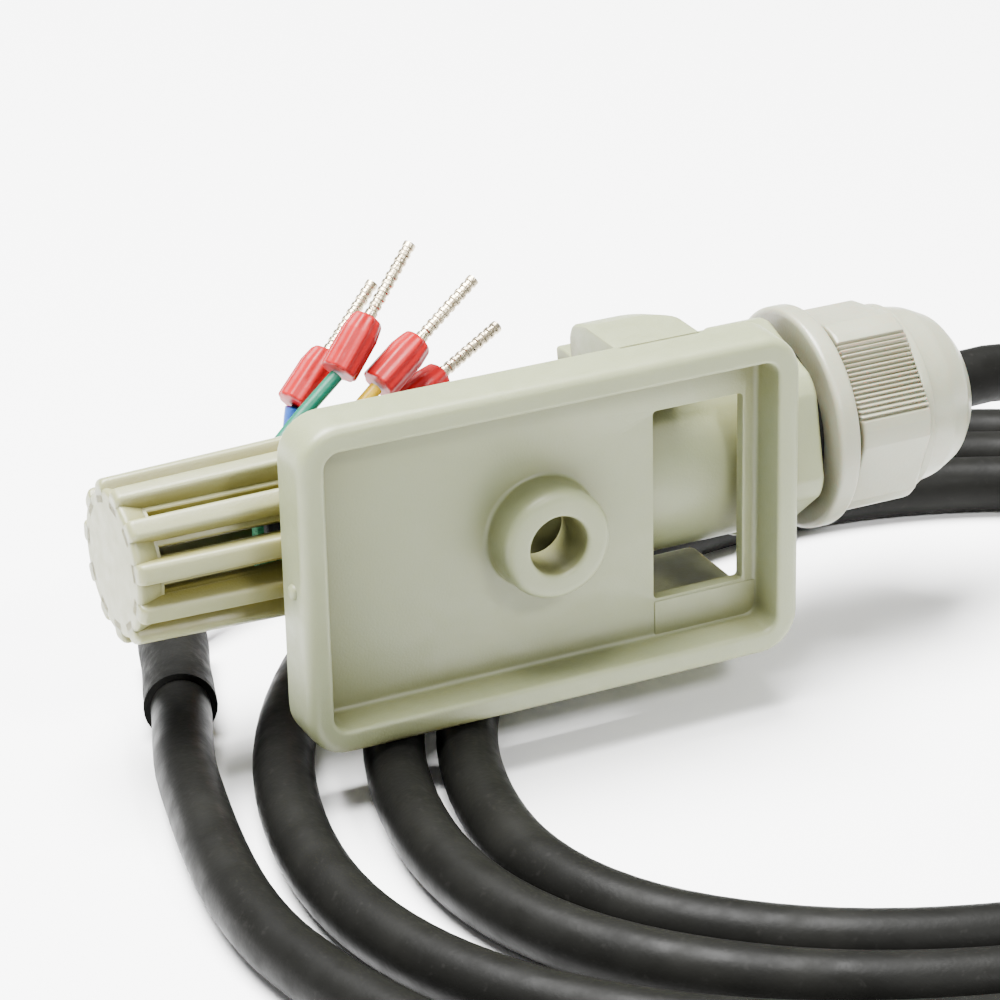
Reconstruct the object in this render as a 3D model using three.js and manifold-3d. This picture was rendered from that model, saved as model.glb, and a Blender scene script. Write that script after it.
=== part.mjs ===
// Air temperature and humidity probe on a wall bracket, with a cable gland and a loose-looped lead.
// Millimetres. +X runs along the probe toward the gland, +Y away from the wall face, +Z up.
// Dimensions are taken from the middle of the bracket's wall face; the group is then moved so that
// the origin is the middle of everything but the lead.
import * as THREE from "three";
import { mergeVertices } from "three/addons/utils/BufferGeometryUtils.js";
import Module from "manifold-3d";

const wasm = await Module();
wasm.setup();

// ---- driving dimensions ----
const GAP = 0.3;
const PLATE_LENGTH = 43.8;
const PLATE_HEIGHT = 28;
const PLATE_DEPTH = 4.6;
const PLATE_CORNER = 3.4;
const EDGE_ROUND = 1.1;
const RIM_WIDTH = 2.1;
const RECESS_DEPTH = 3.5;
const BOSS_RADIUS = 4.65;
const SCREW_HOLE_RADIUS = 2.5;
const WINDOW = { left: 10.2, right: 18.4, bottom: -8.4, top: 8.2 };

const AXIS_Y = 14;
const TUBE_RADIUS = 8.5;
const TUBE_BORE = 7.3;
const TUBE_START = -13;
const TUBE_END = 27.3;
const THREAD_BORE = 6.1;
const COLLAR_START = 22;
const COLLAR_FLATS = 16.4;
const COLLAR_TURN = -0.2;

const ARM_START = 7.2;
const RIB_END = 10.2;
const UPPER_ARM_END = 14.7;
const LOWER_ARM_END = 21.6;
const UPPER_REACH = 12.6;
const LOWER_REACH = 18.5;
const ARM_WALL = 1.8;
const ARM_CORNER = 3.4;
const LIP_RADIUS = 10.2;
const LIP_REACH = 15.5;

const CAGE_START = -32.5;
const CAGE_MOUTH = -3;
const CAGE_ROOT = 5.5;
const CAGE_BORE = 4.4;
const CAGE_DISC = 6.2;
const CAGE_DISC_END = -31;
const CAGE_TIP_START = 6.75;
const CAGE_TIP_END = 7.2;
const CAGE_RIBS = 11;
const RIB_WIDTH = 1.85;
const RIB_PHASE = 0.1;
const SLOT_WIDTH = 0.9;
const SLOT_START = -30.2;
const SLOT_END = -18.6;

const FLANGE_START = 28.3;
const FLANGE_END = 30.3;
const FLANGE_RADIUS = 9.6;
const GASKET_RADIUS = 7.2;
const STUB_RADIUS = 5.8;
const NECK_RADIUS = 6.2;
const NUT_START = 30.9;
const NUT_HEX_END = 37.6;
const NUT_END = 44;
const NUT_FLATS = 16.4;
const NUT_TURN = 0.367;
const NUT_BORE = 6.6;
const NUT_MOUTH = 3.1;
const CABLE_RADIUS = 2.5;

const TABLE = -19.2;
const CABLE_SIDES = 8;
const CORE_RADIUS = 0.65;
const FERRULE_LENGTH = 6.2;
const PIN_LENGTH = 8;
const CENTRE = { x: 5.75, y: 11.8 };

// ---- helpers ----
const at = (x, y, z) => new THREE.Vector3(x, y, z);

// A closed geometry as a solid, turned the right way out.
function solid(geometry) {
  const source = geometry.index ? geometry.toNonIndexed() : geometry;
  const bare = new THREE.BufferGeometry().setAttribute("position", source.getAttribute("position"));
  const merged = mergeVertices(bare, 1e-4);
  const triVerts = new Uint32Array(merged.index.array);
  const vertProperties = new Float32Array(merged.attributes.position.array);
  const made = new wasm.Manifold(new wasm.Mesh({ numProp: 3, vertProperties, triVerts }));
  if (made.volume() >= 0) return made;
  for (let i = 0; i < triVerts.length; i += 3) {
    [triVerts[i + 1], triVerts[i + 2]] = [triVerts[i + 2], triVerts[i + 1]];
  }
  return new wasm.Manifold(new wasm.Mesh({ numProp: 3, vertProperties, triVerts }));
}

function mesh(name, body, material) {
  const m = body.getMesh();
  const count = m.numProp;
  const positions = new Float32Array(m.numVert * 3);
  for (let i = 0; i < m.numVert; i++) {
    positions.set(m.vertProperties.subarray(i * count, i * count + 3), i * 3);
  }
  const geometry = new THREE.BufferGeometry();
  geometry.setAttribute("position", new THREE.BufferAttribute(positions, 3));
  geometry.setIndex(new THREE.BufferAttribute(new Uint32Array(m.triVerts), 1));
  geometry.computeVertexNormals();
  const made = new THREE.Mesh(geometry, material());
  made.name = name;
  return made;
}

const unite = (bodies) => bodies.reduce((a, b) => a.add(b));

function box(x0, x1, y0, y1, z0, z1) {
  const g = new THREE.BoxGeometry(x1 - x0, y1 - y0, z1 - z0);
  return solid(g.translate((x0 + x1) / 2, (y0 + y1) / 2, (z0 + z1) / 2));
}

// A closed profile of [x along the probe, radius] pairs turned about the probe's axis.
function turned(profile, segments = 48) {
  const points = profile.map(([x, r]) => new THREE.Vector2(r, x));
  const onAxis = profile[0][1] === 0 && profile[profile.length - 1][1] === 0;
  if (!onAxis) points.push(points[0].clone());
  const g = new THREE.LatheGeometry(points, segments);
  return solid(g.rotateZ(-Math.PI / 2).translate(0, AXIS_Y, 0));
}

const sleeve = (x0, x1, inner, outer, segments) =>
  turned([[x0, inner], [x1, inner], [x1, outer], [x0, outer]], segments);

const rod = (x0, x1, radius, segments) =>
  turned([[x0, 0], [x0, radius], [x1, radius], [x1, 0]], segments);

function roundedRect(left, right, bottom, top, radius) {
  const s = new THREE.Shape();
  s.moveTo(left + radius, bottom);
  s.lineTo(right - radius, bottom);
  s.absarc(right - radius, bottom + radius, radius, -Math.PI / 2, 0);
  s.lineTo(right, top - radius);
  s.absarc(right - radius, top - radius, radius, 0, Math.PI / 2);
  s.lineTo(left + radius, top);
  s.absarc(left + radius, top - radius, radius, Math.PI / 2, Math.PI);
  s.lineTo(left, bottom + radius);
  s.absarc(left + radius, bottom + radius, radius, Math.PI, Math.PI * 1.5);
  return s;
}

// A shape drawn in X and Z, standing from y0 to y1.
function upright(shape, y0, y1) {
  const g = new THREE.ExtrudeGeometry(shape, { depth: y1 - y0, bevelEnabled: false, curveSegments: 10 });
  return solid(g.rotateX(Math.PI / 2).translate(0, y1, 0));
}

// A profile drawn as [Y, Z], standing from x0 to x1; side -1 turns it upside down.
function crosswise(shape, x0, x1, side = 1) {
  const g = new THREE.ExtrudeGeometry(shape, { depth: x1 - x0, bevelEnabled: false, curveSegments: 10 });
  const turn = new THREE.Matrix4().set(
    0, 0, 1, x0,
    1, 0, 0, 0,
    0, side, 0, 0,
    0, 0, 0, 1,
  );
  return solid(g.applyMatrix4(turn));
}

// A cylinder along Y, centred on x = 0 and z = 0.
function postAlongY(y0, y1, radius, segments = 40) {
  const g = new THREE.CylinderGeometry(radius, radius, y1 - y0, segments);
  return solid(g.translate(0, (y0 + y1) / 2, 0));
}

function tubeAlong(points, radius, steps, sides = CABLE_SIDES) {
  const section = new THREE.Shape();
  for (let i = 0; i < sides; i++) {
    const a = (i / sides) * Math.PI * 2 + Math.PI / sides;
    const px = Math.cos(a) * radius;
    const py = Math.sin(a) * radius;
    if (i === 0) section.moveTo(px, py);
    else section.lineTo(px, py);
  }
  section.closePath();
  const extrudePath = new THREE.CatmullRomCurve3(points, false, "centripetal");
  return solid(new THREE.ExtrudeGeometry(section, { steps, extrudePath, bevelEnabled: false }));
}

// ---- materials ----
const material = (color, roughness, metalness = 0) => () =>
  new THREE.MeshStandardMaterial({ color, roughness, metalness });
const creamAbs = material(0xd5d8c0, 0.5);
const creamCage = material(0xe6e1c8, 0.5);
const greyNylon = material(0xcfccc2, 0.45);
const blackRubber = material(0x1c1c1b, 0.8);
const blackPvc = material(0x232322, 0.55);
const greenBoard = material(0x1f6a3c, 0.5);
const blackEpoxy = material(0x18181a, 0.4);
const tantalum = material(0xc79a3a, 0.5);
const ferruleRed = material(0xd23030, 0.45);
const tinned = material(0xd8d2bc, 0.3, 0.9);
const greenWire = material(0x239678, 0.5);
const yellowWire = material(0xdcbe1e, 0.5);
const brownWire = material(0x6b4226, 0.5);
const blueWire = material(0x2a58a8, 0.5);

// ---- bracket ----
function bracketPlate() {
  const halfLength = PLATE_LENGTH / 2;
  const halfHeight = PLATE_HEIGHT / 2;
  const outer = roundedRect(-halfLength, halfLength, -halfHeight, halfHeight, PLATE_CORNER);
  const g = new THREE.ExtrudeGeometry(outer, {
    depth: PLATE_DEPTH,
    bevelEnabled: true,
    bevelSize: EDGE_ROUND,
    bevelThickness: EDGE_ROUND,
    bevelOffset: -EDGE_ROUND,
    bevelSegments: 4,
    curveSegments: 8,
  });
  const rounded = solid(g.rotateX(Math.PI / 2).translate(0, PLATE_DEPTH + EDGE_ROUND, 0));
  const slab = rounded.intersect(box(-40, 40, 0, PLATE_DEPTH, -30, 30));
  const inner = roundedRect(
    -halfLength + RIM_WIDTH, halfLength - RIM_WIDTH, -halfHeight + RIM_WIDTH, halfHeight - RIM_WIDTH, 1.4);
  const recess = upright(inner, -1, RECESS_DEPTH);
  const boss = postAlongY(0, PLATE_DEPTH, BOSS_RADIUS);
  const hole = postAlongY(-1, PLATE_DEPTH + 1, SCREW_HOLE_RADIUS, 32);
  const { left, right, bottom, top } = WINDOW;
  const opening = box(left, right, -1, PLATE_DEPTH + 1, bottom, top);
  return slab.subtract(recess).add(boss).subtract(hole).subtract(opening);
}

// The side view of a clip arm: flat outside, rounded far corner, and solid down to the tube or thin.
function armProfile(reach, thin) {
  const s = new THREE.Shape();
  const top = PLATE_HEIGHT / 2;
  const root = PLATE_DEPTH - 1;
  s.moveTo(root, thin ? top - ARM_WALL : 8.6);
  s.lineTo(reach - 1.4, thin ? top - ARM_WALL : 9.4);
  s.quadraticCurveTo(reach + 0.1, thin ? top - ARM_WALL : 10.4, reach, 12.4);
  s.quadraticCurveTo(reach - 0.4, top, reach - 3, top);
  s.lineTo(root, top);
  s.closePath();
  return s;
}

function upperArm() {
  const plan = new THREE.Shape();
  plan.moveTo(ARM_START, 0);
  plan.lineTo(UPPER_ARM_END, 0);
  plan.lineTo(UPPER_ARM_END, UPPER_REACH - ARM_CORNER);
  plan.quadraticCurveTo(UPPER_ARM_END, UPPER_REACH, UPPER_ARM_END - ARM_CORNER, UPPER_REACH);
  plan.lineTo(ARM_START, UPPER_REACH + 1);
  plan.closePath();
  const settings = { depth: 30, bevelEnabled: false, curveSegments: 8 };
  const outline = solid(new THREE.ExtrudeGeometry(plan, settings));
  const wall = crosswise(armProfile(UPPER_REACH, false), ARM_START, UPPER_ARM_END);
  return wall.intersect(outline);
}

function lowerArm() {
  const wall = crosswise(armProfile(LOWER_REACH, true), ARM_START, LOWER_ARM_END, -1);
  const rib = crosswise(armProfile(UPPER_REACH, false), ARM_START, RIB_END, -1);
  return wall.add(rib);
}

// The hooked lips that hold the tube from behind, above and below.
function clipLips() {
  const ring = sleeve(ARM_START + 0.4, RIB_END - 0.4, TUBE_RADIUS + GAP, LIP_RADIUS, 64);
  const front = box(0, 30, -20, PLATE_DEPTH + 4, -20, 20);
  const back = box(0, 30, LIP_REACH, 60, -20, 20);
  return ring.subtract(front).subtract(back);
}

function makeBracket() {
  const seat = rod(-30, 40, TUBE_RADIUS + GAP, 64);
  const arms = unite([upperArm(), lowerArm()]).subtract(seat);
  return mesh("bracket", unite([bracketPlate(), arms, clipLips()]), creamAbs);
}

// ---- probe tube and cage ----
function makeTube() {
  const shell = turned([
    [TUBE_START, TUBE_BORE],
    [19, TUBE_BORE],
    [19, THREAD_BORE],
    [COLLAR_START + 1, THREAD_BORE],
    [COLLAR_START + 1, TUBE_RADIUS - 1],
    [COLLAR_START, TUBE_RADIUS],
    [TUBE_START + 0.6, TUBE_RADIUS],
    [TUBE_START, TUBE_RADIUS - 0.5],
  ], 56);
  const hex = hexBlock(COLLAR_START, TUBE_END, COLLAR_FLATS, COLLAR_TURN).intersect(rod(20, 30, 9.1, 56));
  const collar = hex.subtract(rod(20, 30, THREAD_BORE, 48));
  return mesh("probe_tube", shell.add(collar), creamAbs);
}

function cageRib(index) {
  const angle = ((index + RIB_PHASE) / CAGE_RIBS) * Math.PI * 2;
  const s = new THREE.Shape();
  s.moveTo(CAGE_START, CAGE_ROOT - 0.4);
  s.lineTo(CAGE_START, CAGE_TIP_START - 0.4);
  s.lineTo(CAGE_START + 0.4, CAGE_TIP_START);
  s.lineTo(TUBE_START - 1, CAGE_TIP_END);
  s.lineTo(TUBE_START - 1, CAGE_ROOT - 0.4);
  s.closePath();
  const g = new THREE.ExtrudeGeometry(s, { depth: RIB_WIDTH, bevelEnabled: false });
  g.translate(0, 0, -RIB_WIDTH / 2).rotateX(angle).translate(0, AXIS_Y, 0);
  return solid(g);
}

function cageSlot(index) {
  const angle = ((index + RIB_PHASE + 0.57) / CAGE_RIBS) * Math.PI * 2;
  const g = new THREE.BoxGeometry(SLOT_END - SLOT_START, 3, SLOT_WIDTH);
  g.translate((SLOT_START + SLOT_END) / 2, CAGE_ROOT - 0.4, 0).rotateX(angle).translate(0, AXIS_Y, 0);
  return solid(g);
}

function makeCage() {
  const cup = turned([
    [CAGE_START, 0],
    [CAGE_START, CAGE_DISC - 0.3],
    [CAGE_START + 0.3, CAGE_DISC],
    [CAGE_DISC_END, CAGE_DISC],
    [CAGE_DISC_END, CAGE_ROOT],
    [TUBE_START - 1, CAGE_ROOT],
    [TUBE_START - 0.7, TUBE_BORE - GAP],
    [CAGE_MOUTH, TUBE_BORE - GAP],
    [CAGE_MOUTH, CAGE_BORE],
    [CAGE_START + 1.6, CAGE_BORE],
    [CAGE_START + 1.6, 0],
  ], 64);
  const indexes = [...Array(CAGE_RIBS).keys()];
  const ribs = unite(indexes.map(cageRib));
  const slots = unite(indexes.map(cageSlot));
  return mesh("cage_head", cup.add(ribs).subtract(slots), creamCage);
}

// ---- electronics inside the tube ----
const BOARD_BACK = AXIS_Y + 0.5;
const BOARD_FRONT = AXIS_Y - 0.5;

function chip(name, x0, x1, z0, z1, height, look) {
  const front = BOARD_FRONT - GAP;
  return mesh(name, box(x0, x1, front - height, front, z0, z1), look);
}

function makeElectronics() {
  const board = box(-20.4, 12, BOARD_FRONT, BOARD_BACK, -3.9, 3.9);
  return [
    mesh("sensor_board", board, greenBoard),
    chip("humidity_chip", -19.9, -17.3, -0.9, 1.7, 0.9, blackEpoxy),
    chip("controller_chip", -4, 1, -2.5, 2.5, 1, blackEpoxy),
    chip("bus_chip", 3, 6.5, -2.2, 1.8, 1.2, blackEpoxy),
    chip("regulator", 8, 11, -3, -0.6, 1.1, blackEpoxy),
    chip("capacitor", 8, 11, 0.6, 3, 1.4, tantalum),
  ];
}

function innerWire(name, y, z, look) {
  const g = new THREE.CylinderGeometry(0.55, 0.55, 6.4, 10);
  return mesh(name, solid(g.rotateZ(Math.PI / 2).translate(15.6, AXIS_Y + y, z)), look);
}

function makeInnerWires() {
  return [
    innerWire("inner_wire_green", 0, 2.7, greenWire),
    innerWire("inner_wire_yellow", 0, 0.9, yellowWire),
    innerWire("inner_wire_brown", 0, -0.9, brownWire),
    innerWire("inner_wire_blue", 0, -2.7, blueWire),
  ];
}

// ---- gland ----
function threaded(x0, x1, radius, pitch) {
  const profile = [[x0, radius - 0.5]];
  const turns = Math.floor((x1 - x0) / pitch);
  for (let i = 0; i < turns; i++) {
    profile.push([x0 + (i + 0.3) * pitch, radius]);
    profile.push([x0 + (i + 0.5) * pitch, radius]);
    profile.push([x0 + (i + 0.8) * pitch, radius - 0.5]);
    profile.push([x0 + (i + 1) * pitch, radius - 0.5]);
  }
  return profile;
}

function makeGlandBody() {
  const bore = 3.6;
  const seat = 4.8;
  const stub = threaded(20.6, FLANGE_START, STUB_RADIUS, 1.5);
  const neck = threaded(FLANGE_END + 0.2, 37.6, NECK_RADIUS, 1.5);
  const shape = turned([
    ...stub,
    [FLANGE_START, STUB_RADIUS - 0.5],
    [FLANGE_START, FLANGE_RADIUS - 0.3],
    [FLANGE_START + 0.3, FLANGE_RADIUS],
    [FLANGE_END - 0.3, FLANGE_RADIUS],
    [FLANGE_END, FLANGE_RADIUS - 0.3],
    [FLANGE_END, NECK_RADIUS - 0.5],
    ...neck,
    [37.6, seat],
    [31, seat],
    [31, bore],
    [20.6, bore],
  ], 48);
  return mesh("gland_body", shape, greyNylon);
}

function makeGasket() {
  const ring = sleeve(TUBE_END + 0.2, FLANGE_START - 0.2, STUB_RADIUS + GAP, GASKET_RADIUS, 48);
  return mesh("gland_gasket", ring, blackRubber);
}

function makeClaw() {
  const ring = turned([
    [31.9, 3.9],
    [38, 3.9],
    [41.6, 3.2],
    [41.6, 3.9],
    [38.6, 4.5],
    [31.9, 4.5],
  ], 40);
  const slots = [...Array(6).keys()].map((i) => {
    const g = new THREE.BoxGeometry(5, 3, 0.7);
    g.translate(40.5, 4, 0).rotateX((i / 6) * Math.PI * 2).translate(0, AXIS_Y, 0);
    return solid(g);
  });
  return mesh("gland_claw", ring.subtract(unite(slots)), greyNylon);
}

const makeSeal = () =>
  mesh("gland_seal", sleeve(31.9, 37.6, CABLE_RADIUS + GAP, 3.6, 32), blackRubber);

// A hexagonal block along the probe, turned by an angle.
function hexBlock(x0, x1, flats, turn) {
  const s = new THREE.Shape();
  const corner = flats / 2 / Math.cos(Math.PI / 6);
  for (let i = 0; i < 6; i++) {
    const a = (i / 6) * Math.PI * 2 + Math.PI / 6 + turn;
    const py = Math.cos(a) * corner;
    const pz = Math.sin(a) * corner;
    if (i === 0) s.moveTo(py, pz);
    else s.lineTo(py, pz);
  }
  s.closePath();
  return crosswise(s, x0, x1).translate([0, AXIS_Y, 0]);
}

function makeNut() {
  const hex = hexBlock(NUT_START, NUT_HEX_END, NUT_FLATS, NUT_TURN).intersect(rod(20, 50, 9.3, 56));
  const dome = turned([
    [NUT_HEX_END - 0.5, 0],
    [NUT_HEX_END - 0.5, 8.1],
    [NUT_HEX_END + 0.7, 8.1],
    [NUT_HEX_END + 1.2, 7.8],
    [40.6, 7.2],
    [42.3, 6.3],
    [43.4, 5.2],
    [NUT_END, 4.2],
    [NUT_END, 0],
  ], 56);
  const bore = turned([
    [20, 0],
    [20, NUT_BORE],
    [38.4, NUT_BORE],
    [40, 5],
    [42.2, 4.6],
    [43, NUT_MOUTH],
    [60, NUT_MOUTH],
    [60, 0],
  ], 48);
  return mesh("gland_nut", hex.add(dome).subtract(bore), greyNylon);
}

// ---- lead: cable, sleeve, cores and ferrules ----
const LIE = TABLE + CABLE_RADIUS;
// Where each half turn crosses the loops' long axis, on the right, then on the left.
const CROSSINGS = [77, -11.3, 83, -17.2, 88.4, -26.4, 93.8];
const HALF_DEPTHS = [30, 46.5, 36, 52.5, 41.5, 58.5];
const LOOP_MIDDLE = -16;
const LEAD_END = at(-21.7, 31.2, LIE);
const LEAD_HEADING = at(0.312, 0.95, 0).normalize();

const leadPoint = (back) => LEAD_END.clone().addScaledVector(LEAD_HEADING, -back);

// Where the drop ends and the loops start, both along one straight line.
const JOINT = at(77, -14, LIE + 0.05);
const JOINT_HEADING = at(0, -1, 0);
const nearJoint = (reach) => JOINT.clone().addScaledVector(JOINT_HEADING, reach);

// From the gland down to the table.
function dropRoute() {
  return [
    at(NUT_END - 6, AXIS_Y, 0),
    at(NUT_END, AXIS_Y, 0),
    at(50, AXIS_Y, 0),
    at(57.6, 13.3, -2),
    at(64.4, 10.8, -6.2),
    at(70, 6.8, -10.8),
    at(73.9, 1.4, -14.3),
    at(76.1, -4.8, -16.3),
    at(76.9, -10, LIE + 0.05),
    nearJoint(0),
  ];
}

// The loose loops on the table, and the last run that ends behind the cage.
function loopRoute() {
  const points = [nearJoint(2 * GAP), nearJoint(3)];
  for (let half = 0; half < HALF_DEPTHS.length; half++) {
    const from = CROSSINGS[half];
    const to = CROSSINGS[half + 1];
    const side = half % 2 === 0 ? -1 : 1;
    for (let k = half === 0 ? 1 : 0; k < 8; k++) {
      const a = (k / 8) * Math.PI;
      const x = (from + to) / 2 + ((from - to) / 2) * Math.cos(a);
      points.push(at(x, LOOP_MIDDLE + side * HALF_DEPTHS[half] * Math.sin(a), LIE));
    }
  }
  points.push(at(93.8, -16, LIE), at(87, -40.5, LIE), at(65, -59, LIE), at(34, -65.5, LIE));
  points.push(at(3, -60.5, LIE), at(-23, -45, LIE), at(-33, -21, LIE));
  points.push(leadPoint(26.3), leadPoint(14), leadPoint(2.4));
  return points;
}

const makeDrop = () => mesh("cable_drop", tubeAlong(dropRoute(), CABLE_RADIUS, 8), blackPvc);
const makeLoops = () => mesh("cable_loops", tubeAlong(loopRoute(), CABLE_RADIUS, 71), blackPvc);

// A straight closed body of revolution from one point toward another.
function alongLine(from, heading, profile, segments) {
  const points = profile.map(([reach, radius]) => new THREE.Vector2(radius, reach));
  if (profile[0][1] > 0) points.push(points[0].clone());
  const g = new THREE.LatheGeometry(points, segments);
  const turn = new THREE.Quaternion().setFromUnitVectors(at(0, 1, 0), heading);
  return solid(g.applyQuaternion(turn).translate(from.x, from.y, from.z));
}

function makeHeatShrink() {
  const outer = CABLE_RADIUS + 0.65;
  const inner = CABLE_RADIUS + GAP;
  const profile = [[0, inner], [12.8, inner], [12.8, outer], [0, outer]];
  return mesh("heat_shrink", alongLine(leadPoint(12.8), LEAD_HEADING, profile, 24), blackRubber);
}

// Each core: its colour, its seat in the sleeve, its route and its ferrule's heading.
const CORES = [
  {
    name: "green", look: greenWire, seat: [-1, 0.9],
    route: [at(-14.4, 39.5, -12), at(-5.4, 44.2, -6.2), at(0.6, 46, -2.2)], tip: at(4.7, 48, 1.7),
  },
  {
    name: "blue", look: blueWire, seat: [-1, -0.9],
    route: [at(-15.5, 40.2, -15.2), at(-8.5, 46, -14.6), at(-3.4, 49.4, -10.6), at(-2.2, 50, -6.2)],
    tip: at(2.2, 52, -2.6),
  },
  {
    name: "yellow", look: yellowWire, seat: [1, 0.9],
    route: [at(-12.4, 37.6, -12.2), at(-3.4, 42.6, -8.4), at(4.2, 45.6, -4)], tip: at(9.6, 47.4, -0.8),
  },
  {
    name: "brown", look: brownWire, seat: [1, -0.9],
    route: [at(-12.6, 37.2, -14.4), at(-2.6, 42.4, -10.8), at(6.4, 46.4, -7.2)], tip: at(11.6, 48.4, -5.4),
  },
];

function coreParts({ name, look, seat, route, tip }) {
  const aside = at(LEAD_HEADING.y, -LEAD_HEADING.x, 0).multiplyScalar(seat[0]);
  const inSleeve = (back) => leadPoint(back).add(aside).add(at(0, 0, seat[1]));
  const base = route[route.length - 1];
  const heading = tip.clone().sub(base).normalize();
  const wire = tubeAlong([inSleeve(2), inSleeve(-1.5), ...route], CORE_RADIUS, 9, 6);
  const collar = [
    [GAP, 0], [GAP, 1.75], [FERRULE_LENGTH - 2, 1.75], [FERRULE_LENGTH, 1.15], [FERRULE_LENGTH, 0],
  ];
  const start = FERRULE_LENGTH + GAP;
  const pin = [[start, 0], [start, 0.6], [start + PIN_LENGTH - 0.3, 0.6], [start + PIN_LENGTH, 0.4],
    [start + PIN_LENGTH, 0]];
  return [
    mesh("core_" + name, wire, look),
    mesh("ferrule_" + name, alongLine(base, heading, collar, 16), ferruleRed),
    mesh("pin_" + name, alongLine(base, heading, pin, 10), tinned),
  ];
}

// ---- assembly ----
const root = new THREE.Group();
root.name = "air_probe";
root.add(
  makeBracket(),
  makeTube(),
  makeCage(),
  ...makeElectronics(),
  ...makeInnerWires(),
  makeGlandBody(),
  makeGasket(),
  makeClaw(),
  makeSeal(),
  makeNut(),
  makeDrop(),
  makeLoops(),
  makeHeatShrink(),
  ...CORES.flatMap(coreParts),
);
root.position.set(-CENTRE.x, -CENTRE.y, 0);
export default root;
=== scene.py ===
"""The looks of a caged air probe on its wall bracket, lying on its looped lead.

Design sizes are in millimetres from the middle of the bracket's wall face: +X along the probe toward
the gland, +Y away from the wall, +Z up. P() turns them into the row frame's metres.
"""

import math

import bmesh
import bpy
from mathutils import Euler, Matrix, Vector


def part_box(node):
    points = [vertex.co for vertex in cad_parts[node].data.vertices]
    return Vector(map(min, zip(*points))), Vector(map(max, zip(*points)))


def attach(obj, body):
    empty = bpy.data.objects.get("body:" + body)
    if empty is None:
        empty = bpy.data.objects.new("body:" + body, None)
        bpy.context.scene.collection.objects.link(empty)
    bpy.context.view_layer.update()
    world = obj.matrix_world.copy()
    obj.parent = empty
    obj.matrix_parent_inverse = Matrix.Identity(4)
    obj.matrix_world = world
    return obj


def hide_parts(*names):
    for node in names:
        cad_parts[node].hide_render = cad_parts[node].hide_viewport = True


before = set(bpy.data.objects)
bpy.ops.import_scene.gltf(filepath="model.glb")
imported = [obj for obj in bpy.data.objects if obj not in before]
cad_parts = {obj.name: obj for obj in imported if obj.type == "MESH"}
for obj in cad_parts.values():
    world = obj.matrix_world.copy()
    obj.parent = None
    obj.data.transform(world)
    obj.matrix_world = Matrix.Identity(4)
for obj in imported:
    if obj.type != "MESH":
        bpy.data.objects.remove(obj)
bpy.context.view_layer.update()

# ---- driving sizes, in millimetres ----
CENTRE_X, CENTRE_Y = 5.75, 11.8
AXIS_Y = 14.0
PLATE_HALF_X, PLATE_HALF_Z = 21.9, 14.0
PLATE_DEPTH = 4.6
PLATE_CORNER = 3.4
RIM_WIDTH = 2.1
RECESS = 3.5
BOSS_R, HOLE_R = 4.65, 2.5
WINDOW = (10.2, 18.4, -8.4, 8.2)
ARM_START, UPPER_END, LOWER_END, RIB_END = 7.2, 14.7, 21.6, 10.2
UPPER_REACH, LOWER_REACH = 12.6, 18.5
TUBE_R, TUBE_START, COLLAR_START, TUBE_END = 8.5, -13.0, 22.0, 27.3
CAGE_START, CAGE_RIBS, RIB_PHASE, RIB_WIDTH = -32.5, 11, 0.1, 1.85
COLLAR_FLATS, COLLAR_TURN, COLLAR_ROUND = 16.4, -0.2, 8.95
THREAD_BORE = 6.1
SPIGOT_START, CAGE_MOUTH, SPIGOT_R = -13.7, -3, 7.0
WALL_R, CAGE_BORE = 5.5, 4.4
SLOT_START, SLOT_END, SLOT_HALF_ANGLE = -30.2, -18.6, 0.07
SLOT_SKEW = 0.07
NUT_START, NUT_HEX_END, NUT_BORE = 30.9, 37.6, 6.6
NUT_FLATS, NUT_TURN, NUT_ROUND = 16.4, 0.367, 8.75
NUT_RIBS, NUT_RIB_DEPTH = 17, 0.14
CORE_R = 0.65
CABLE_R = 2.5
TABLE = -19.2
LIE = TABLE + CABLE_R
MM = 0.001


def P(x, y, z):
    return Vector(((x - CENTRE_X) * MM, (y - CENTRE_Y) * MM, z * MM))


def around(x, radius, angle):
    """A point round the probe's axis; angle 0 looks away from the wall, a quarter turn is up."""
    return P(x, AXIS_Y + radius * math.cos(angle), radius * math.sin(angle))


# ---- camera ----
def make_camera():
    data = bpy.data.cameras.new("camera")
    data.lens = 136.8
    data.sensor_width = 36
    data.clip_start = 0.01
    camera = bpy.data.objects.new("camera", data)
    bpy.context.scene.collection.objects.link(camera)
    camera.location = (-0.12576, -0.25606, 0.12731)
    camera.rotation_euler = Euler((math.radians(65.649), math.radians(1.197), math.radians(-25.724)))
    bpy.context.scene.camera = camera


make_camera()


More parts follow.
